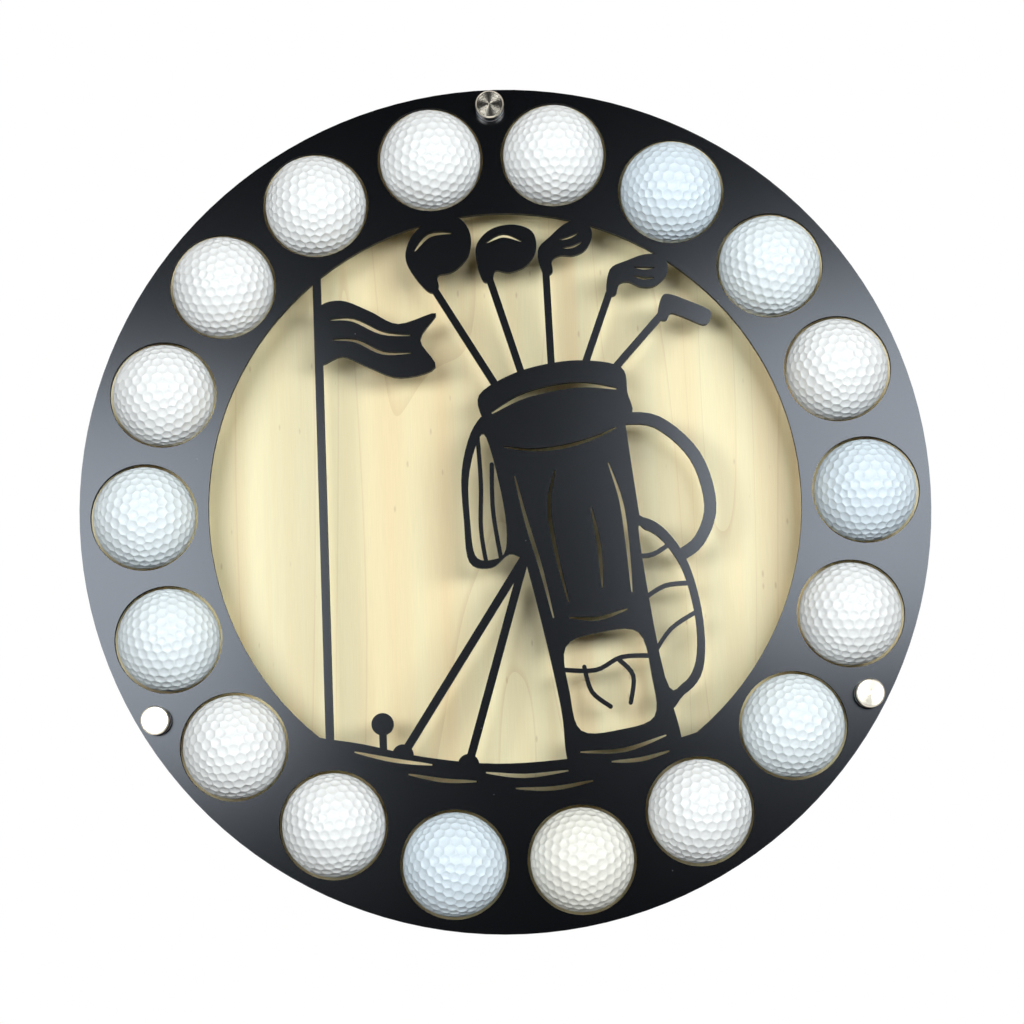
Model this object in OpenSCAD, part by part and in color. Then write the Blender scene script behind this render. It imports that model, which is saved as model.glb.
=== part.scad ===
// Round wall display for eighteen golf balls. A black plate with a ring of ball holes and a
// cut-through picture stands on three round standoffs in front of a pale maple panel.
// Millimetres. X is to the right and Z up as it hangs, and the front faces -Y. The origin is the
// middle of the panel's rear face, which lies against the wall.

/* [Golf balls] */
// Diameter of a golf ball
ball_d = 42.67; // [41:0.01:44]
// Number of balls round the ring
ball_count = 18; // [12, 15, 18]
// Gap all round between a ball and its hole in the front plate
ball_hole_gap = 1.15; // [0.9:0.05:2]
// Diameter of the seat cut in the panel behind each ball
seat_d = 25.4; // [22:0.1:28]
// Gap between a ball and the edge of its seat
seat_gap = 0.2; // [0.1:0.05:0.4]

/* [Front plate] */
// Diameter of the front plate
plate_d = 355.6; // [340:0.1:400]
// Thickness of the front plate
plate_t = 3; // [2:0.5:6]
// Width left between the ball holes and the plate's rim
outer_margin = 4.5; // [3.5:0.1:8]
// Width left between the ball holes and the window
inner_margin = 4.4; // [3.5:0.1:8]

/* [Picture in the window] */
// Width of the thin standing lines
line_w = 1.8; // [1.4:0.1:2.4]
// Width of the slits cut through the solid parts
slit_w = 1.8; // [1:0.1:2.2]
// Width of a club's shaft
shaft_w = 3; // [2.4:0.1:4]
// Width of the flagstick and of the stand's legs
pole_w = 3.4; // [2.6:0.1:4.4]
// Diameter of the round feet of the stand's legs
leg_foot_d = 8.8; // [6:0.1:11]
// Diameter of the ball on its tee by the flagstick
teed_ball_d = 9.2; // [6:0.1:12]
// Width of the bag's shoulder strap
strap_w = 5; // [3:0.1:6]
// Lean of the bag
bag_lean = 9; // [7:0.5:11]

/* [Back panel] */
// Distance that the panel's rim lies inside the plate's rim
panel_inset = 0; // [0:0.5:6]
// Thickness of the back panel
panel_t = 6; // [5:0.5:12]
// Diameter of the hanging keyhole's round mouth
keyhole_mouth_d = 10; // [8:0.5:12]
// Width of the hanging keyhole's slot
keyhole_slot_w = 5; // [4.5:0.1:6]
// Height from the middle of the keyhole's mouth to the end of its slot
keyhole_rise = 14; // [12:0.5:16]
// Distance from the top standoff down to the middle of the keyhole's mouth
keyhole_drop = 30; // [26:0.5:34]

/* [Standoffs] */
// Diameter of the standoffs' barrels, washers and caps
standoff_d = 12; // [10:0.5:15]
// Length of a barrel, from the panel to the rear washer
barrel_len = 16; // [15:0.5:19]
// Height of a cap's head
cap_h = 5; // [3:0.5:8]
// Width of the bevel round a cap's face and a barrel's ends
bevel = 0.6; // [0.3:0.1:1]
// Thickness of each washer
washer_t = 1; // [0.5:0.1:1.5]
// Diameter of the thread on the caps and screws
thread_d = 6; // [5:0.5:6.5]
// Length of thread that a cap or a screw has in its barrel
thread_grip = 7; // [5:0.5:7]
// Distance from the plate's rim to the middle of a standoff
standoff_inset = 7.8; // [7.6:0.1:9]
// Diameter of a screw's countersunk head
screw_head_d = 11; // [9:0.5:12]

/* [Hidden] */
$fn = 96;
fit_gap = 0.05;
hole_gap = 0.25;
past = 1;
rim_sides = 180;
hex_sides = 6;
socket_d = 4.6;
socket_depth = 2;
head_sink = 0.2;
standoff_names = ["top", "left", "right"];
standoff_angles = [90, 210, 330];
standoffs = [0:len(standoff_names) - 1];
ball_numbers = [1:ball_count];

plate_r = plate_d / 2;
panel_r = plate_r - panel_inset;
ball_r = ball_d / 2;
ball_hole_r = ball_r + ball_hole_gap;
ball_ring_r = plate_r - outer_margin - ball_hole_r;
window_r = ball_ring_r - ball_hole_r - inner_margin;
ball_step = 360 / ball_count;
seat_r = seat_d / 2;
standoff_r = standoff_d / 2;
standoff_ring_r = plate_r - standoff_inset;
thread_r = thread_d / 2;
screw_head_r = screw_head_d / 2;

// Depths are measured forward from the wall
barrel_front = panel_t + barrel_len;
plate_back = barrel_front + washer_t;
plate_front = plate_back + plate_t;
cap_back = plate_front + washer_t;
stud_back = barrel_front - thread_grip;
// A ball sinks into its seat until it meets the seat's edge
ball_depth = panel_t + sqrt(pow(ball_r + seat_gap, 2) - seat_r * seat_r);

// Ball 1 is the first to the right of the top, and the numbers run on clockwise
function ball_angle(i) = 90 - (i - 0.5) * ball_step;
function on_ring(r, a) = [r * cos(a), r * sin(a)];

// A drawing stood upright, of thickness t in front of a depth
module sheet(depth, t) {
    translate([0, -depth, 0]) rotate([90, 0, 0]) linear_extrude(t) children();
}

// A turned piece on standoff k, with its own Z from the wall to the front
module on_standoff(k) {
    p = on_ring(standoff_ring_r, standoff_angles[k]);
    translate([p[0], 0, p[1]]) rotate([90, 0, 0]) children();
}

// The picture is drawn on a grid with this many steps from the window's middle to its rim
grid_steps = 124;
grid = window_r / grid_steps;

// The picture's curves pass smoothly through a few points, with this many steps from each to the next
curve_steps = 5;

function blend(a, b, c, d, t) =
    (2 * b + (c - a) * t + (2 * a - 5 * b + 4 * c - d) * t * t + (3 * b - a - 3 * c + d) * t * t * t) / 2;
function smooth_line(p) =
    let (last = len(p) - 1)
    concat(
        [for (i = [0:last - 1], k = [0:curve_steps - 1])
            blend(p[max(i - 1, 0)], p[i], p[i + 1], p[min(i + 2, last)], k / curve_steps)],
        [p[last]]
    );
function smooth_loop(p) =
    let (n = len(p))
    [for (i = [0:n - 1], k = [0:curve_steps - 1])
        blend(p[(i + n - 1) % n], p[i], p[(i + 1) % n], p[(i + 2) % n], k / curve_steps)];
function heading(p, i) =
    let (d = p[min(i + 1, len(p) - 1)] - p[max(i - 1, 0)]) d / norm(d);
function beside(p, i, d) = p[i] + d * [-heading(p, i)[1], heading(p, i)[0]];

module shape(points) {
    polygon(smooth_loop(points));
}

// The points that round a line's end off, from a turn off its heading to the opposite side
end_steps = 6;

function round_end(p, i, r, turn) =
    let (h = heading(p, i), side = [-h[1], h[0]])
    [for (k = [1:end_steps - 1])
        let (a = turn - 180 * k / end_steps) p[i] + r * (cos(a) * h + sin(a) * side)];

// A line of even width with round ends
module line(points, w) {
    path = len(points) > 2 ? smooth_line(points) : points;
    last = len(path) - 1;
    r = w / 2 / grid;
    polygon(concat(
        [for (i = [0:last]) beside(path, i, r)],
        round_end(path, last, r, 90),
        [for (i = [last:-1:0]) beside(path, i, -r)],
        round_end(path, 0, r, -90)
    ));
}

module dot(place, d) {
    translate(place) circle(d / 2 / grid);
}

// A slit that swells to its full width in the middle and narrows to a third of it at both ends
slit_end_share = 0.32;

module slit(points, w = slit_w) {
    path = smooth_line(points);
    last = len(path) - 1;
    r = w / 2 / grid;
    swell = [for (i = [0:last]) slit_end_share + (1 - slit_end_share) * sin(180 * i / last)];
    polygon(concat(
        [for (i = [0:last]) beside(path, i, r * swell[i])],
        [for (i = [last:-1:0]) beside(path, i, -r * swell[i])]
    ));
}

// The bag is drawn upright with its foot at the origin, then set down here and leaned
bag_foot = [46, -107];
// Place on the bag where the stand's legs start
leg_hinge = [-24.5, 89.6];

function on_bag_at(p) = bag_foot +
    [p[0] * cos(bag_lean) - p[1] * sin(bag_lean), p[0] * sin(bag_lean) + p[1] * cos(bag_lean)];

module on_bag() {
    translate(bag_foot) rotate(bag_lean) children();
}

// Ground along the bottom of the window
module ground() {
    shape([[-104, -84], [-86, -93], [-62, -98], [-38, -104], [-8, -108], [24, -107], [56, -103],
        [82, -96], [104, -84], [96, -112], [40, -134], [-40, -134], [-96, -112]]);
}

module ground_slits() {
    slit([[-66, -101], [-50, -105], [-34, -107.5]]);
    slit([[-44, -111], [-30, -114], [-16, -115]]);
    slit([[-12, -111.5], [4, -113.5], [22, -112]]);
    slit([[0, -118.5], [16, -119], [32, -116.5]]);
    slit([[40, -109], [52, -108.5], [64, -105.5]]);
}

// Flagstick from the ground to the top of the window, its flag blown to the right, and a ball on a tee
module flag() {
    line([[-76, -100], [-76, 104]], pole_w);
    shape([[-76, 86], [-66, 89], [-54, 84], [-42, 78], [-26, 82], [-33, 71], [-27, 59], [-42, 55],
        [-55, 60], [-66, 65], [-76, 62], [-77, 74]]);
    line([[-54, -90], [-54, -103]], shaft_w);
    dot([-54, -90], teed_ball_d);
}

module flag_slits() {
    slit([[-71, 81], [-61, 80.5], [-49, 74.5], [-37, 73]]);
    slit([[-70, 72.5], [-60, 71.5], [-49, 66], [-37, 65.5]]);
}

module bag_body() {
    polygon(concat(
        smooth_line([[-23.5, -4.3], [-24, 6.4], [-22.4, 25.6], [-23.5, 64], [-26.1, 107], [-27.7, 141]]),
        smooth_line([[27.7, 141], [26.1, 111], [24, 64], [22.9, 25.6], [24, 6.4], [23.5, -4.3]])
    ));
    shape([[-28.8, 137.6], [-30.9, 149.3], [-30.4, 160], [-16, 165.9], [0, 167.5], [16, 165.9],
        [30.4, 160], [30.9, 149.3], [28.8, 137.6], [0, 133.3]]);
}

// Pocket that bulges from the bag's right side
module side_pocket() {
    shape([[18.1, 20.3], [28.8, 20.3], [38.4, 28.8], [42.7, 49.1], [41.6, 72.5], [35.2, 88.5],
        [26.7, 96], [18.1, 96]]);
}

module shoulder_strap() {
    line([[25.6, 138.7], [40.5, 134.4], [53.3, 117.3], [55.5, 96], [48, 82.1], [37.3, 76.8]], strap_w);
}

module towel() {
    shape([[-26.7, 148.3], [-35.2, 147.2], [-43.7, 130.1], [-46.9, 108.8], [-48, 91.7], [-39.5, 87.5],
        [-30.9, 91.7], [-23.5, 89.6], [-21.3, 110.9]]);
}

// Openings in the pockets, with thin lines left standing in them for the folds
module pocket_windows() {
    difference() {
        shape([[22.4, 28.8], [29.3, 25.1], [36.3, 33.1], [39.7, 50.1], [38.6, 70.4], [33.1, 84.3],
            [26.7, 90.7], [23.5, 87.5]]);
        line([[19.2, 38.4], [28.8, 48], [41.6, 53.3]], line_w);
        line([[19.2, 61.9], [29.9, 66.1], [41.6, 65.1]], line_w);
        line([[19.2, 81.1], [27.7, 80], [38.4, 84.3]], line_w);
    }
    difference() {
        shape([[-16, 13.9], [0, 11.2], [14.9, 13.9], [17.1, 29.9], [15.5, 49.1], [0, 52.3],
            [-15.5, 49.1], [-17.6, 29.9]]);
        line([[-20.3, 40.5], [-5.3, 37.3], [6.4, 40.5], [20.3, 38.4]], line_w);
        line([[-9.6, 39.5], [-8.5, 28.8], [-2.1, 21.3]], line_w);
        line([[5, 39.9], [9.6, 32], [6.4, 21.3]], line_w);
    }
}

module bag_slits() {
    mouth_slit_w = slit_w * 1.5;
    slit([[-24.5, 136.5], [-12.8, 132.8], [0, 131.7], [12.8, 132.8], [23.5, 135.5]]);
    slit([[-18.1, 61.9], [-19.2, 83.2], [-21.3, 104.5], [-22.4, 123.7]]);
    slit([[-11.7, 60.8], [0, 58.1], [12.8, 59.7]]);
    slit([[-10.7, 67.2], [-11.7, 89.6], [-10.7, 108.8], [-5.3, 122.7]]);
    slit([[16, 66.1], [18.1, 85.3], [19.2, 104.5], [17.1, 121.6]]);
    slit([[4.3, 70.4], [6.4, 87.5], [6.4, 104.5]]);
    slit([[-18.1, 5.3], [0, 2.7], [18.1, 5.3]]);
    slit([[-26.7, 151.5], [-10.7, 156.3], [10.7, 156.3], [26.7, 151.5]], mouth_slit_w);
}

module towel_windows() {
    difference() {
        shape([[-30.9, 141.9], [-35.7, 139.7], [-41.6, 125.9], [-44.3, 108.8], [-45, 93.9],
            [-38.9, 90.7], [-32, 93.9], [-29.3, 113.1]]);
        line([[-34.1, 146.1], [-36.8, 123.7], [-40.5, 104.5], [-41.1, 88.5]], line_w);
        line([[-30.9, 130.1], [-34.1, 110.9], [-34.7, 90.7]], line_w);
    }
}

// Two legs prop the bag from the left, each on a round foot
module stand_legs() {
    for (foot = [[-46, -103], [-19, -108]]) {
        line([on_bag_at(leg_hinge), foot], pole_w);
        dot(foot, leg_foot_d);
    }
}

// Club heads are drawn with the shaft coming up to the origin
module wood_head() {
    shape([[-2, -5], [2, -5], [4, -1], [10, -2.5], [18, 0], [23, 7], [22, 15], [14, 19], [4, 18],
        [-3, 12], [-4, 4]]);
}

module wood_slit() {
    slit([[1, 12], [9, 14.5], [17, 11]]);
}

module iron_head() {
    shape([[-2, -5], [2, -5], [3, 0], [7, 1.5], [13, 0], [19, 1.5], [23.5, 8], [21, 15], [13, 15],
        [5, 11], [-2, 6]]);
}

module iron_slits() {
    groove_w = slit_w * 0.7;
    slit([[9, 4.5], [13.5, 4], [18, 5]], groove_w);
    slit([[8.5, 8.5], [13, 8.5], [17.5, 9.5]], groove_w);
}

module putter_head() {
    shape([[-2, -5], [2, -5], [3, -1], [10, -0.5], [19, -0.5], [21, 3], [19, 7], [8, 7.5], [-2, 7],
        [-4, 3]]);
}

// Each club: where its shaft leaves the bag, its head's place, and the head's turn and size
clubs = [
    [[-19.2, 153.6], [-29, 97], 28, 1.1],
    [[-9.6, 153.6], [-4, 100], 4, 0.95],
    [[0, 153.6], [21, 102], 12, 0.95],
    [[9.6, 153.6], [49, 92], -10, 0.95],
    [[19.2, 153.6], [71, 80], -24, 0.9]
];

module club_shafts() {
    for (c = clubs) line([on_bag_at(c[0]), c[1]], shaft_w);
}

module at_head(c) {
    translate(c[1]) rotate(c[2]) scale(c[3]) children();
}

module club_heads() {
    at_head(clubs[0]) wood_head();
    at_head(clubs[1]) wood_head();
    at_head(clubs[2]) iron_head();
    at_head(clubs[3]) iron_head();
    at_head(clubs[4]) putter_head();
}

module club_slits() {
    at_head(clubs[0]) wood_slit();
    at_head(clubs[1]) wood_slit();
    at_head(clubs[2]) iron_slits();
    at_head(clubs[3]) iron_slits();
}

module picture() {
    difference() {
        union() {
            ground();
            flag();
            stand_legs();
            club_shafts();
            club_heads();
            on_bag() {
                bag_body();
                side_pocket();
                shoulder_strap();
                towel();
            }
        }
        ground_slits();
        flag_slits();
        club_slits();
        on_bag() {
            pocket_windows();
            bag_slits();
            towel_windows();
        }
    }
}

// One black sheet: the ring of ball holes with the picture left standing in its window
module front_plate() {
    color("#17181b")
    sheet(plate_back, plate_t)
    difference() {
        circle(plate_r, $fn = rim_sides);
        for (i = ball_numbers) translate(on_ring(ball_ring_r, ball_angle(i))) circle(ball_hole_r);
        for (a = standoff_angles) translate(on_ring(standoff_ring_r, a)) circle(thread_r + hole_gap);
        difference() {
            circle(window_r, $fn = rim_sides);
            scale(grid) picture();
        }
    }
}

// Hanging keyhole: the screw's head goes in at the round mouth, and its shank slides up the slot
module keyhole() {
    mouth = standoff_ring_r - keyhole_drop;
    slot_end = mouth + keyhole_rise - keyhole_slot_w / 2;
    translate([0, mouth]) circle(keyhole_mouth_d / 2);
    translate([-keyhole_slot_w / 2, mouth]) square([keyhole_slot_w, slot_end - mouth]);
    translate([0, slot_end]) circle(keyhole_slot_w / 2);
}

// Half outline of a countersunk screw, or with a gap of its hole, from one height to another
module countersunk(gap, low, high) {
    head_r = screw_head_r + gap;
    shank_r = thread_r + gap;
    polygon([[0, low], [head_r, low], [head_r, head_sink], [shank_r, head_sink + screw_head_r - thread_r],
        [shank_r, high], [0, high]]);
}

// Maple panel with a round seat behind each ball
module back_panel() {
    color("#ecd5a3")
    difference() {
        sheet(0, panel_t)
        difference() {
            circle(panel_r, $fn = rim_sides);
            for (i = ball_numbers) translate(on_ring(ball_ring_r, ball_angle(i))) circle(seat_r);
            keyhole();
        }
        for (k = standoffs) on_standoff(k) rotate_extrude() countersunk(hole_gap, -past, panel_t + past);
    }
}

// Round steel distance piece, threaded right through, with bevelled ends
module barrel(k) {
    bore_r = thread_r + fit_gap;
    color("#c9cacc")
    on_standoff(k) translate([0, 0, panel_t]) rotate_extrude()
        polygon([[bore_r, 0], [standoff_r - bevel, 0], [standoff_r, bevel],
            [standoff_r, barrel_len - bevel], [standoff_r - bevel, barrel_len], [bore_r, barrel_len]]);
}

module washer(k, depth) {
    on_standoff(k) translate([0, 0, depth])
    difference() {
        cylinder(h = washer_t, r = standoff_r);
        translate([0, 0, -past]) cylinder(h = washer_t + 2 * past, r = thread_r + hole_gap);
    }
}

module rear_washer(k) {
    color("#e4e6e6") washer(k, barrel_front);
}

module front_washer(k) {
    color("#e4e6e6") washer(k, plate_front);
}

// Cap with a bevelled face and a threaded stud that runs through the plate into the barrel
module cap(k) {
    cap_front = cap_back + cap_h;
    color("#d4d5d6")
    on_standoff(k) rotate_extrude()
        polygon([[0, stud_back], [thread_r, stud_back], [thread_r, cap_back], [standoff_r, cap_back],
            [standoff_r, cap_front - bevel], [standoff_r - bevel, cap_front], [0, cap_front]]);
}

// Countersunk screw from behind the panel into the barrel
module screw(k) {
    color("#b8babd")
    on_standoff(k)
    difference() {
        rotate_extrude() countersunk(0, head_sink, panel_t + thread_grip);
        translate([0, 0, head_sink - past])
            cylinder(h = past + socket_depth, d = socket_d, $fn = hex_sides);
    }
}

module ball(i) {
    p = on_ring(ball_ring_r, ball_angle(i));
    color("#f4f5f5") translate([p[0], -ball_depth, p[1]]) sphere(ball_r);
}

front_plate();
back_panel();
for (k = standoffs) {
    barrel(k);
    rear_washer(k);
    front_washer(k);
    cap(k);
    screw(k);
}
for (i = ball_numbers) {
    ball(i);
}
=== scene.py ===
import math

import bmesh
import bpy
from mathutils import Matrix, Vector
from mathutils.kdtree import KDTree


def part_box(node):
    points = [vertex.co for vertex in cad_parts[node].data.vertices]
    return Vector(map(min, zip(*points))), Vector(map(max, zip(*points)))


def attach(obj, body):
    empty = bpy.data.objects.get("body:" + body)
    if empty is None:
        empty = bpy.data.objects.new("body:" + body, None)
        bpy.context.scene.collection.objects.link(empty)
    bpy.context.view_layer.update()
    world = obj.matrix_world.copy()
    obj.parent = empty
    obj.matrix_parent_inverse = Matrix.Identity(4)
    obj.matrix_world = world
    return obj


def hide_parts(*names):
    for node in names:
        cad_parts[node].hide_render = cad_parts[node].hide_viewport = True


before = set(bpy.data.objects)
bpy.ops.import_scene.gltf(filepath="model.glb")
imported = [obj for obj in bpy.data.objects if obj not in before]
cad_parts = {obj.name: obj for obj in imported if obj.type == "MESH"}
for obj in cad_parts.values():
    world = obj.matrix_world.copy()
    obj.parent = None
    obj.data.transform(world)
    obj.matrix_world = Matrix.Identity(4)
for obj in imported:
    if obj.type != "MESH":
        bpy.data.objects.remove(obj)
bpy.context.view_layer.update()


# Back panel: maple-faced plywood, 6 mm thick, cut to a disc by laser. The faces are clear lacquered and
# their grain runs up and down. The rim, the ball seats and the keyhole show the plies, scorched brown.

mm = 0.001


def linear(hex_colour):
    """A colour written as sRGB hex, in the linear values that a shader takes."""
    parts = [int(hex_colour[i:i + 2], 16) / 255 for i in (1, 3, 5)]
    return tuple(c / 12.92 if c <= 0.04045 else ((c + 0.055) / 1.055) ** 2.4 for c in parts) + (1,)


def add(tree, kind, links=None, values=None, **settings):
    """Adds a node with its own settings and its sockets' values, and links its sockets to other nodes."""
    node = tree.nodes.new("ShaderNode" + kind)
    for name, value in settings.items():
        setattr(node, name, value)
    for socket, value in (values or {}).items():
        node.inputs[socket].default_value = value
    for socket, source in (links or {}).items():
        tree.links.new(source, node.inputs[socket])
    return node


def new_material(name, **values):
    """A material with one Principled shader, whose plain values are set on its own sockets."""
    material = bpy.data.materials.new(name)
    material.use_nodes = True
    shader = material.node_tree.nodes["Principled BSDF"]
    for socket, value in values.items():
        shader.inputs[socket.replace("_", " ")].default_value = value
    return material, material.node_tree, shader


def colour_steps(ramp, steps):
    """Gives a colour ramp its steps, each a place from 0 to 1 and a colour."""
    elements = ramp.color_ramp.elements
    while len(elements) < len(steps):
        elements.new(0.5)
    for element, (place, colour) in zip(elements, steps):
        element.position = place
        element.color = linear(colour)


def finish_node(name, material):
    """Gives a CAD node its material."""
    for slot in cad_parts[name].material_slots:
        slot.material = material


# Lacquered maple: a close, pale, silky wood with faint bands about 26 mm wide, fine fibres and short flecks
maple, tree, shader = new_material("lacquered_maple_plywood", Roughness=0.42, IOR=1.5, Coat_Weight=0.12,
                                   Coat_Roughness=0.25)
place = add(tree, "TexCoord").outputs["Object"]
band_width, band_length = 26 * mm, 900 * mm
band_space = add(tree, "Mapping", {"Vector": place},
                 {"Scale": (1 / band_width, 1 / band_width, 1 / band_length), "Location": (0.35, 0, 0.2)})
bands = add(tree, "TexNoise", {"Vector": band_space.outputs[0]},
            {"Scale": 1, "Detail": 3, "Roughness": 0.55, "Distortion": 0.2})
face_colour = add(tree, "ValToRGB", {"Fac": bands.outputs["Fac"]})
colour_steps(face_colour, [(0.30, "#F1D5A2"), (0.45, "#F3E0B0"), (0.58, "#F4E7BA"), (0.72, "#F2DBAA")])

# Growth rings cut lengthways show as a few thin lines that wander as they run up the panel
ring_width, ring_length, ring_count = 60 * mm, 500 * mm, 9
ring_space = add(tree, "Mapping", {"Vector": place},
                 {"Scale": (1 / ring_width, 1 / ring_width, 1 / ring_length)})
rings = add(tree, "TexNoise", {"Vector": ring_space.outputs[0]},
            {"Scale": 1, "Detail": 1, "Distortion": 0.4})
ring_lines = add(tree, "Math", {0: rings.outputs["Fac"]}, {1: ring_count}, operation="MULTIPLY")
ring_wave = add(tree, "Math", {0: ring_lines.outputs[0]}, operation="FRACT")
ring_edge = add(tree, "MapRange", {"Value": ring_wave.outputs[0]},
                {"From Min": 0.93, "From Max": 1.0, "To Min": 0.0, "To Max": 0.3})
ringed = add(tree, "Mix", {0: ring_edge.outputs[0], 6: face_colour.outputs["Color"]},
             {7: linear("#D0AC76")}, data_type="RGBA")

# Fibres 0.35 mm wide and 14 mm long, drawn coarser than real ones so that they show
fibre_width, fibre_length = 0.35 * mm, 14 * mm
fibre_space = add(tree, "Mapping", {"Vector": place},
                  {"Scale": (1 / fibre_width, 1 / fibre_width, 1 / fibre_length)})
fibres = add(tree, "TexNoise", {"Vector": fibre_space.outputs[0]}, {"Scale": 1, "Detail": 2})
fibre_shade = add(tree, "MapRange", {"Value": fibres.outputs["Fac"]},
                  {"From Min": 0.3, "From Max": 0.7, "To Min": 0.965, "To Max": 1.015})
fibred = add(tree, "VectorMath", {0: ringed.outputs[2], 1: fibre_shade.outputs[0]}, operation="MULTIPLY")

# Brown flecks up to 1 mm wide and 3 mm long, in just under half of the patches of 5 by 16 mm
patch_width, patch_length, bare_share = 5 * mm, 16 * mm, 0.55
fleck_space = add(tree, "Mapping", {"Vector": place},
                  {"Scale": (1 / patch_width, 1 / patch_width, 1 / patch_length)})
flecks = add(tree, "TexVoronoi", {"Vector": fleck_space.outputs[0]}, {"Scale": 1})
fleck_near = add(tree, "MapRange", {"Value": flecks.outputs["Distance"]},
                 {"From Min": 0.05, "From Max": 0.12, "To Min": 0.35, "To Max": 0.0})
fleck_pick = add(tree, "SeparateColor", {"Color": flecks.outputs["Color"]})
fleck_some = add(tree, "Math", {0: fleck_pick.outputs[0]}, {1: bare_share}, operation="GREATER_THAN")
fleck_share = add(tree, "Math", {0: fleck_near.outputs[0], 1: fleck_some.outputs[0]}, operation="MULTIPLY")
flecked = add(tree, "Mix", {0: fleck_share.outputs[0], 6: fibred.outputs[0]},
              {7: linear("#B58F5E")}, data_type="RGBA")

# Cut edges: plies 1.2 mm thick, browned by the laser, light and dark in turn
ply = 1.2 * mm
depth = add(tree, "SeparateXYZ", {"Vector": place})
ply_phase = add(tree, "Math", {0: depth.outputs["Y"]}, {1: math.pi / ply}, operation="MULTIPLY")
ply_wave = add(tree, "Math", {0: ply_phase.outputs[0]}, operation="SINE")
scorch = add(tree, "TexNoise", {"Vector": place}, {"Scale": 1 / (7 * mm), "Detail": 3})
ply_share = add(tree, "Math", {0: ply_wave.outputs[0], 1: scorch.outputs["Fac"]}, {2: 0.1},
                operation="MULTIPLY_ADD")
edge_colour = add(tree, "ValToRGB", {"Fac": ply_share.outputs[0]})
colour_steps(edge_colour, [(0.0, "#4A2E19"), (0.25, "#6E4627"), (0.6, "#94683D")])
normal = add(tree, "SeparateXYZ", {"Vector": add(tree, "NewGeometry").outputs["True Normal"]})
facing = add(tree, "Math", {0: normal.outputs["Y"]}, operation="ABSOLUTE")
is_face = add(tree, "Math", {0: facing.outputs[0]}, {1: 0.9}, operation="GREATER_THAN")
wood_colour = add(tree, "Mix", {0: is_face.outputs[0], 6: edge_colour.outputs["Color"],
                                7: flecked.outputs[2]}, data_type="RGBA")
tree.links.new(wood_colour.outputs[2], shader.inputs["Base Color"])
fibre_relief = add(tree, "Bump", {"Height": fibres.outputs["Fac"]}, {"Strength": 0.12, "Distance": 0.05 * mm})
tree.links.new(fibre_relief.outputs[0], shader.inputs["Normal"])
finish_node("back_panel", maple)


# Screws: countersunk steel, bright zinc plated, driven from behind through the panel into the barrels.
# They sit just under the panel's rear face.

# Zinc plate: a bluish bright metal whose crystals dull it in small patches
zinc, tree, shader = new_material("bright_zinc_plated_steel", Metallic=1.0, Base_Color=linear("#C4C8CE"))
place = add(tree, "TexCoord").outputs["Object"]
patches = add(tree, "TexNoise", {"Vector": place}, {"Scale": 1 / (1.5 * mm), "Detail": 3})
dulling = add(tree, "MapRange", {"Value": patches.outputs["Fac"]}, {"To Min": 0.18, "To Max": 0.42})
tree.links.new(dulling.outputs[0], shader.inputs["Roughness"])
standoffs = ["top", "left", "right"]
for side in standoffs:
    finish_node("screw_" + side, zinc)


# Barrels and caps: stainless steel bar turned on a lathe, which leaves fine rings round its axis. The
# barrels hold the plate off the panel, and each cap's stud screws through the plate into its barrel.

# Turned stainless steel: its fine rings draw each highlight out into bright and dark wedges
def turned_steel(name, axis_x, axis_z):
    """Steel turned round an axis along Y at that place, with tool marks 0.22 mm apart."""
    material, tree, shader = new_material(name, Metallic=1.0, Anisotropic=0.9)
    place = add(tree, "TexCoord").outputs["Object"]
    centred = add(tree, "VectorMath", {0: place}, {1: (axis_x, 0, axis_z)}, operation="SUBTRACT")
    flat = add(tree, "VectorMath", {0: centred.outputs[0]}, {1: (1, 0, 1)}, operation="MULTIPLY")
    radius = add(tree, "VectorMath", {0: flat.outputs[0]}, operation="LENGTH")
    parts = add(tree, "SeparateXYZ", {"Vector": centred.outputs[0]})
    along = add(tree, "Math", {0: radius.outputs["Value"], 1: parts.outputs["Y"]}, operation="ADD")
    tool_mark = 0.22 * mm
    marks = add(tree, "TexNoise", {"W": add(tree, "Math", {0: along.outputs[0]}, {1: 1 / tool_mark},
                                            operation="MULTIPLY").outputs[0]},
                {"Scale": 1, "Detail": 2}, noise_dimensions="1D")
    tone = add(tree, "ValToRGB", {"Fac": marks.outputs["Fac"]})
    colour_steps(tone, [(0.3, "#BEB5A5"), (0.7, "#DAD2C4")])
    tree.links.new(tone.outputs["Color"], shader.inputs["Base Color"])
    polish = add(tree, "MapRange", {"Value": marks.outputs["Fac"]}, {"To Min": 0.17, "To Max": 0.26})
    tree.links.new(polish.outputs[0], shader.inputs["Roughness"])
    relief = add(tree, "Bump", {"Height": marks.outputs["Fac"]}, {"Strength": 0.1, "Distance": 0.01 * mm})
    tree.links.new(relief.outputs[0], shader.inputs["Normal"])
    tree.links.new(add(tree, "Tangent", direction_type="RADIAL", axis="Y").outputs[0],
                   shader.inputs["Tangent"])
    return material


for side in standoffs:
    low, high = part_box("cap_" + side)
    steel = turned_steel("turned_stainless_steel_" + side, (low.x + high.x) / 2, (low.z + high.z) / 2)
    finish_node("barrel_" + side, steel)
    finish_node("cap_" + side, steel)


# Washers: punched from natural nylon sheet, one on each side of the plate at each standoff, so that the
# steel doesn't mark it.

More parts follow.
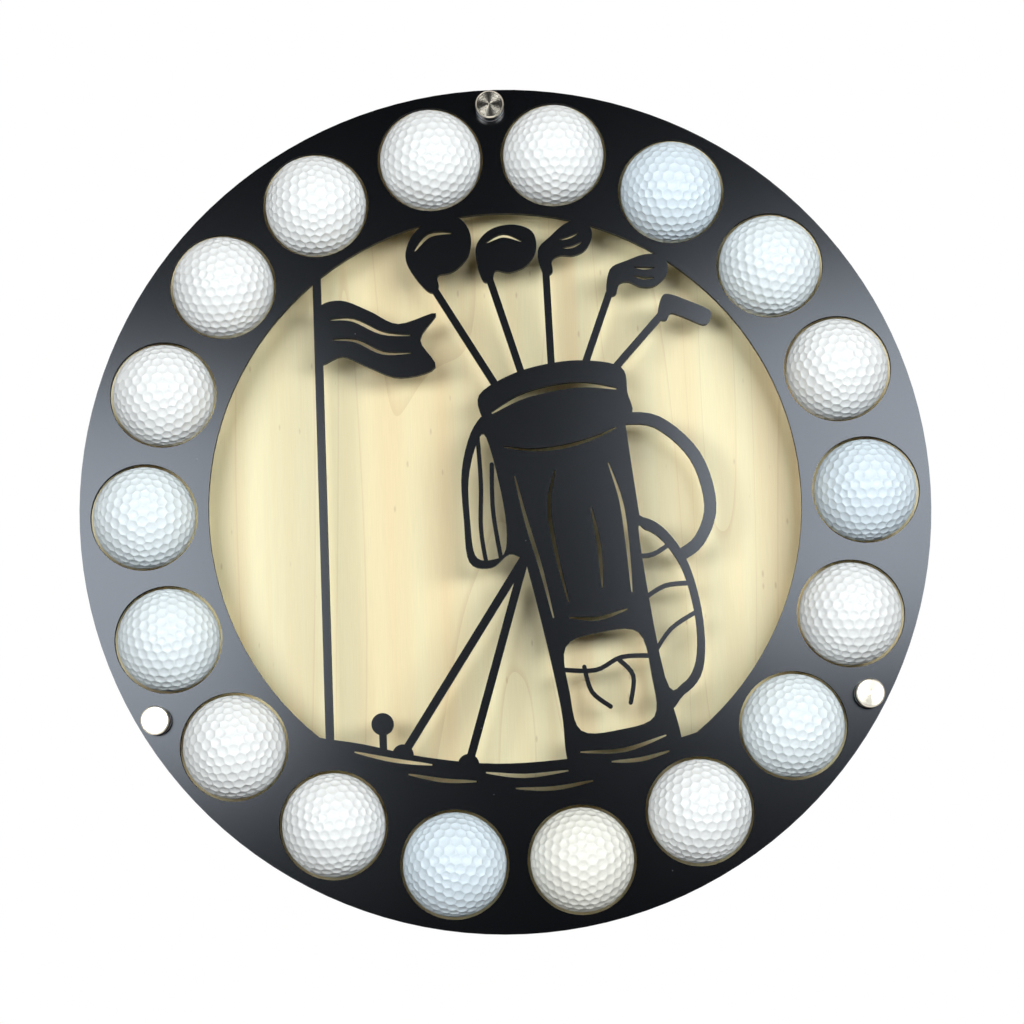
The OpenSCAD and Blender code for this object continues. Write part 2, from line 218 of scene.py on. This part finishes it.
# Natural nylon: milky, waxy, and slightly see-through
nylon, tree, shader = new_material("natural_nylon_sheet", Base_Color=linear("#DDDFDE"), IOR=1.53,
                                   Subsurface_Weight=0.3, Subsurface_Scale=0.6 * mm)
place = add(tree, "TexCoord").outputs["Object"]
wax = add(tree, "TexNoise", {"Vector": place}, {"Scale": 1 / (2 * mm), "Detail": 2})
waxy = add(tree, "MapRange", {"Value": wax.outputs["Fac"]}, {"To Min": 0.34, "To Max": 0.5})
tree.links.new(waxy.outputs[0], shader.inputs["Roughness"])
for side in standoffs:
    finish_node("rear_washer_" + side, nylon)
    finish_node("front_washer_" + side, nylon)


# Front plate: one sheet of black acrylic, 3 mm thick, cut by laser to its ring of ball holes and to the
# picture left standing in its window. The face is satin, and the laser leaves the cut edges duller.

# Satin black acrylic: a smooth cast face that mirrors bright things softly, with dust lying on it
acrylic, tree, shader = new_material("satin_black_acrylic", IOR=1.49, Specular_Tint=linear("#EFF4FF"))
place = add(tree, "TexCoord").outputs["Object"]
film = add(tree, "TexNoise", {"Vector": place}, {"Scale": 1 / (45 * mm), "Detail": 2})
film_polish = add(tree, "MapRange", {"Value": film.outputs["Fac"]}, {"To Min": 0.175, "To Max": 0.2})
# The cut edges are duller than the faces, with fine lines through the thickness
normal = add(tree, "SeparateXYZ", {"Vector": add(tree, "NewGeometry").outputs["True Normal"]})
facing = add(tree, "Math", {0: normal.outputs["Y"]}, operation="ABSOLUTE")
is_edge = add(tree, "Math", {0: facing.outputs[0]}, {1: 0.5}, operation="LESS_THAN")
sheet_polish = add(tree, "Mix", {0: is_edge.outputs[0], 2: film_polish.outputs[0]}, {3: 0.5})
tree.links.new(sheet_polish.outputs[0], shader.inputs["Roughness"])
mirror_share = add(tree, "MapRange", {"Value": is_edge.outputs[0]}, {"To Min": 0.5, "To Max": 0.15})
tree.links.new(mirror_share.outputs[0], shader.inputs["Specular IOR Level"])
line_width, line_length = 0.4 * mm, 20 * mm
line_space = add(tree, "Mapping", {"Vector": place},
                 {"Scale": (1 / line_width, 1 / line_length, 1 / line_width)})
cut_lines = add(tree, "TexNoise", {"Vector": line_space.outputs[0]}, {"Scale": 1, "Detail": 1})
cut_height = add(tree, "Math", {0: cut_lines.outputs["Fac"], 1: is_edge.outputs[0]}, operation="MULTIPLY")
cut_relief = add(tree, "Bump", {"Height": cut_height.outputs[0]}, {"Strength": 0.3, "Distance": 0.05 * mm})
tree.links.new(cut_relief.outputs[0], shader.inputs["Normal"])
# Specks of dust about 0.35 mm wide with soft edges, some 11 mm apart
dust_gap, speck_core, speck_reach = 11 * mm, 0.14 * mm, 0.315 * mm
dust = add(tree, "TexVoronoi", {"Vector": place}, {"Scale": 1 / dust_gap})
dust_near = add(tree, "MapRange", {"Value": dust.outputs["Distance"]},
                {"From Min": speck_core / dust_gap, "From Max": speck_reach / dust_gap,
                 "To Min": 0.5, "To Max": 0.0})
dusty = add(tree, "Mix", {0: dust_near.outputs[0]}, {6: linear("#020203"), 7: linear("#8E9094")},
            data_type="RGBA")
tree.links.new(dusty.outputs[2], shader.inputs["Base Color"])
finish_node("front_plate", acrylic)


# Golf balls: moulded covers painted white and clear-coated. Each has 362 dimples on the pattern of an
# icosahedron, about 4 mm wide and drawn half a millimetre deep. They rest loose in the holes.

def icosahedron_grid(steps):
    """Points of an icosahedron's faces, each edge cut in that many steps, pushed out to a sphere of
    radius 1, and the triangles between them."""
    seed = bmesh.new()
    bmesh.ops.create_icosphere(seed, subdivisions=1, radius=1)
    points, triangles, found = [], [], {}
    for face in seed.faces:
        a, b, c = (v.co for v in face.verts)
        row_of = {}
        for i in range(steps + 1):
            for j in range(steps + 1 - i):
                point = (a * (steps - i - j) + b * i + c * j).normalized()
                key = tuple(round(x, 5) for x in point)
                if key not in found:
                    found[key] = len(points)
                    points.append(point)
                row_of[i, j] = found[key]
        for i in range(steps):
            for j in range(steps - i):
                triangles.append((row_of[i, j], row_of[i + 1, j], row_of[i, j + 1]))
                if i + j < steps - 1:
                    triangles.append((row_of[i + 1, j], row_of[i + 1, j + 1], row_of[i, j + 1]))
    seed.free()
    return points, triangles


ball_low, ball_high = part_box("ball_1")
ball_radius = (ball_high.z - ball_low.z) / 2
# An edge of the icosahedron spans 6 dimples, and each dimple 10 steps of the mesh
dimple_steps, steps_per_dimple = 6, 10
dimple_centres, _ = icosahedron_grid(dimple_steps)
ball_points, ball_triangles = icosahedron_grid(dimple_steps * steps_per_dimple)
centre_tree = KDTree(len(dimple_centres))
for i, centre in enumerate(dimple_centres):
    centre_tree.insert(centre, i)
centre_tree.balance()


def dimpled_ball(name, depth, width_share):
    """A ball's mesh. Each dimple is a shallow bowl that fills width_share of the way to its neighbours,
    so 1 gives six-sided ones that meet in ridges and less leaves land between them. The points are
    drawn out towards the dimples' rims, where the surface bends most."""
    rim_draw, bowl_power = 1.7, 3
    shaped = []
    for point in ball_points:
        (centre, _, near), (_, _, next_near) = centre_tree.find_n(point, 2)
        even_reach = 2 * near / (near + next_near)
        reach = 1 - (1 - even_reach) ** rim_draw
        moved = centre + (point - centre) * (reach / even_reach if even_reach else 1)
        bowl = max(0, 1 - (reach / width_share) ** bowl_power)
        shaped.append(moved.normalized() * (ball_radius - depth * bowl))
    mesh = bpy.data.meshes.new(name)
    mesh.from_pydata(shaped, [], ball_triangles)
    mesh.shade_smooth()
    return mesh


# Two moulds. Real dimples are half as deep, which wouldn't show at this size
dimple_depth = 0.5 * mm
round_dimpled = dimpled_ball("round_dimpled_cover", dimple_depth, 0.9)
hex_dimpled = dimpled_ball("hex_dimpled_cover", dimple_depth, 0.96)


# Moulded urethane under clear paint: white and glossy, and handling has left the gloss a little uneven
def ball_cover(name, colour):
    """The finish of a ball's cover in that white."""
    material, tree, shader = new_material(name, IOR=1.5)
    place = add(tree, "TexCoord").outputs["Object"]
    handling = add(tree, "TexNoise", {"Vector": place}, {"Scale": 1 / (9 * mm), "Detail": 3})
    gloss = add(tree, "MapRange", {"Value": handling.outputs["Fac"]}, {"To Min": 0.34, "To Max": 0.44})
    tree.links.new(gloss.outputs[0], shader.inputs["Roughness"])
    tint = add(tree, "Mix", {0: handling.outputs["Fac"]},
               {6: linear(colour), 7: tuple(0.97 * c for c in linear(colour)[:3]) + (1,)}, data_type="RGBA")
    tree.links.new(tint.outputs[2], shader.inputs["Base Color"])
    return material


covers = {
    "white": ball_cover("white_urethane_cover", "#F8F8F7"),
    "cool": ball_cover("cool_white_urethane_cover", "#F0F7FA"),
    "blue": ball_cover("bluish_white_urethane_cover", "#E5F0F8"),
    "warm": ball_cover("warm_white_urethane_cover", "#FAF7ED"),
}
# Each ball's white and mould, clockwise from the first to the right of the top
balls = [
    ("white", round_dimpled), ("blue", hex_dimpled), ("cool", round_dimpled), ("white", hex_dimpled),
    ("blue", hex_dimpled), ("white", round_dimpled), ("cool", hex_dimpled), ("white", hex_dimpled),
    ("warm", round_dimpled), ("blue", hex_dimpled), ("white", round_dimpled), ("white", hex_dimpled),
    ("cool", round_dimpled), ("cool", hex_dimpled), ("white", hex_dimpled), ("white", round_dimpled),
    ("white", hex_dimpled), ("white", round_dimpled),
]
# Nobody lines them up, so no two lie the same way round
first_turn, turn_step, roll_share = 11, 37, 1.7
for i, (tint, mould) in enumerate(balls):
    node = "ball_%d" % (i + 1)
    low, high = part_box(node)
    turn = (first_turn + turn_step * i) % 360
    lie = (Matrix.Rotation(math.radians(turn), 4, "X")
           @ Matrix.Rotation(math.radians(turn * roll_share), 4, "Z"))
    cover = mould.copy()
    cover.transform(lie)
    cover.materials.append(covers[tint])
    ball = bpy.data.objects.new("dimpled_" + node, cover)
    ball.location = (low + high) / 2
    bpy.context.scene.collection.objects.link(ball)
    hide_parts(node)
    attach(ball, node)


# Studio: a white surround, a pale floor 0.6 m below the display, and two soft boxes in front, to the left
# and right of the camera, with two more behind for the rear.

plate_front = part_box("front_plate")[0].y
rim_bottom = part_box("front_plate")[0].z


def soft_box(name, place, width, height, radiance):
    """A rectangular daylight lamp aimed at the display, of one brightness all over."""
    lamp = bpy.data.lights.new(name, "AREA")
    lamp.color = (0.93, 0.98, 1.0)
    lamp.shape = "RECTANGLE"
    lamp.size, lamp.size_y = width, height
    lamp.energy = radiance * math.pi * width * height
    holder = bpy.data.objects.new(name, lamp)
    holder.location = place
    holder.rotation_euler = (-Vector(place)).to_track_quat("-Z", "Y").to_euler()
    holder.visible_camera = False
    bpy.context.scene.collection.objects.link(holder)


front_radiance, rear_radiance = 10.8, 6
soft_box("soft_box_right", (0.66, -1.15, 0.19), 1.09, 0.35, front_radiance)
soft_box("soft_box_left", (-0.55, -1.15, 0.103), 0.74, 0.35, front_radiance)
soft_box("soft_box_rear_right", (0.9, 1.1, 0.5), 0.8, 0.8, rear_radiance)
soft_box("soft_box_rear_left", (-0.9, 1.1, 0.5), 0.8, 0.8, rear_radiance)

# The world is white where the camera, metal or glass sees the background behind the display, dim in
# front where the dark side of the studio is. Everything else gets a faint fill from the ceiling
world = bpy.data.worlds.new("white_surround")
world.use_nodes = True
bpy.context.scene.world = world
tree = world.node_tree
tree.nodes.clear()
path = add(tree, "LightPath")
direction = add(tree, "SeparateXYZ", {"Vector": add(tree, "TexCoord").outputs["Generated"]})
behind = add(tree, "MapRange", {"Value": direction.outputs["Y"]},
             {"From Min": -0.25, "From Max": 0.2, "To Min": 0.0, "To Max": 1.0})
seen = add(tree, "Mix", {0: behind.outputs[0]}, {6: (0.008, 0.009, 0.012, 1), 7: (1, 1, 1, 1)},
           data_type="RGBA")
mirrored = add(tree, "Math", {0: path.outputs["Is Glossy Ray"], 1: path.outputs["Is Transmission Ray"]},
               operation="MAXIMUM")
above = add(tree, "MapRange", {"Value": direction.outputs["Z"]}, {"From Min": -0.2, "From Max": 0.9})
fill = add(tree, "Mix", {0: above.outputs[0]}, {6: (0.01, 0.009, 0.008, 1), 7: (0.16, 0.145, 0.12, 1)},
           data_type="RGBA")
fill_or_seen = add(tree, "Mix", {0: mirrored.outputs[0], 6: fill.outputs[2], 7: seen.outputs[2]},
                   data_type="RGBA")
surround = add(tree, "Mix", {0: path.outputs["Is Camera Ray"], 6: fill_or_seen.outputs[2]},
               {7: (1, 1, 1, 1)}, data_type="RGBA")
background = add(tree, "Background", {"Color": surround.outputs[2]})
add(tree, "OutputWorld", {"Surface": background.outputs[0]})

# Floor: a disc in matt white paint that fades out into the surround, so that it has no edge
floor_radius, floor_drop, floor_corners, floor_glow = 1.6, 0.6, 96, 0.45
floor_mesh = bpy.data.meshes.new("floor")
angles = [math.tau * i / floor_corners for i in range(floor_corners)]
rim = [(floor_radius * math.cos(angle), floor_radius * math.sin(angle), 0) for angle in angles]
wedges = [(0, i + 1, (i + 1) % floor_corners + 1) for i in range(floor_corners)]
floor_mesh.from_pydata([(0, 0, 0)] + rim, [], wedges)
floor = bpy.data.objects.new("floor", floor_mesh)
floor.location = (0, 0, rim_bottom - floor_drop)
bpy.context.scene.collection.objects.link(floor)
paint, tree, shader = new_material("matt_white_floor_paint")
tree.nodes.remove(shader)
place = add(tree, "TexCoord").outputs["Object"]
reach = add(tree, "VectorMath", {0: place}, operation="LENGTH")
fade = add(tree, "MapRange", {"Value": reach.outputs["Value"]},
           {"From Min": 0.25 * floor_radius, "From Max": 0.95 * floor_radius, "To Min": 0, "To Max": 1},
           interpolation_type="SMOOTHSTEP")
path = add(tree, "LightPath")
mirrored = add(tree, "Math", {0: path.outputs["Is Glossy Ray"], 1: path.outputs["Is Transmission Ray"]},
               operation="MAXIMUM")
seen = add(tree, "Math", {0: path.outputs["Is Camera Ray"], 1: mirrored.outputs[0]}, operation="MAXIMUM")
glow_strength = add(tree, "Math", {0: seen.outputs[0]}, {1: floor_glow}, operation="MULTIPLY")
# The camera and mirrors see it white, but it throws back as little light as a floor much further down
floor_colour = add(tree, "Mix", {0: seen.outputs[0]}, {6: linear("#888887"), 7: linear("#F2F2F0")},
                   data_type="RGBA")
matt = add(tree, "BsdfDiffuse", {"Color": floor_colour.outputs[2]})
glow = add(tree, "Emission", {"Strength": glow_strength.outputs[0]}, {"Color": (1, 1, 1, 1)})
lit = add(tree, "AddShader", {0: matt.outputs[0], 1: glow.outputs[0]})
clear = add(tree, "BsdfTransparent")
faded = add(tree, "MixShader", {0: fade.outputs[0], 1: lit.outputs[0], 2: clear.outputs[0]})
tree.links.new(faded.outputs[0], tree.nodes["Material Output"].inputs["Surface"])
floor_mesh.materials.append(paint)

# Camera: 1.065 m from the plate, a little below its middle and looking up, leaned 2.2 degrees
camera_distance, camera_tilt, camera_turn, camera_lean = 1.065, -7.24, -0.22, -2.20
camera_aside, camera_above = -0.003, 0.0036
photo_width, focal_pixels, sensor_width = 1024, 2551, 36
camera_data = bpy.data.cameras.new("camera")
camera_data.sensor_width = sensor_width
camera_data.lens = focal_pixels / photo_width * sensor_width
camera_data.clip_start = 0.05
camera = bpy.data.objects.new("camera", camera_data)
camera.matrix_world = (
    Matrix.Translation((0, plate_front, 0))
    @ Matrix.Rotation(math.radians(-camera_turn), 4, "Z")
    @ Matrix.Rotation(math.radians(-camera_tilt), 4, "X")
    @ Matrix.Rotation(math.radians(-camera_lean), 4, "Y")
    @ Matrix.Translation((-camera_aside, -camera_distance, -camera_above))
    @ Matrix.Rotation(math.radians(90), 4, "X")
)
bpy.context.scene.collection.objects.link(camera)
bpy.context.scene.camera = camera
bpy.context.scene.view_settings.view_transform = "Standard"
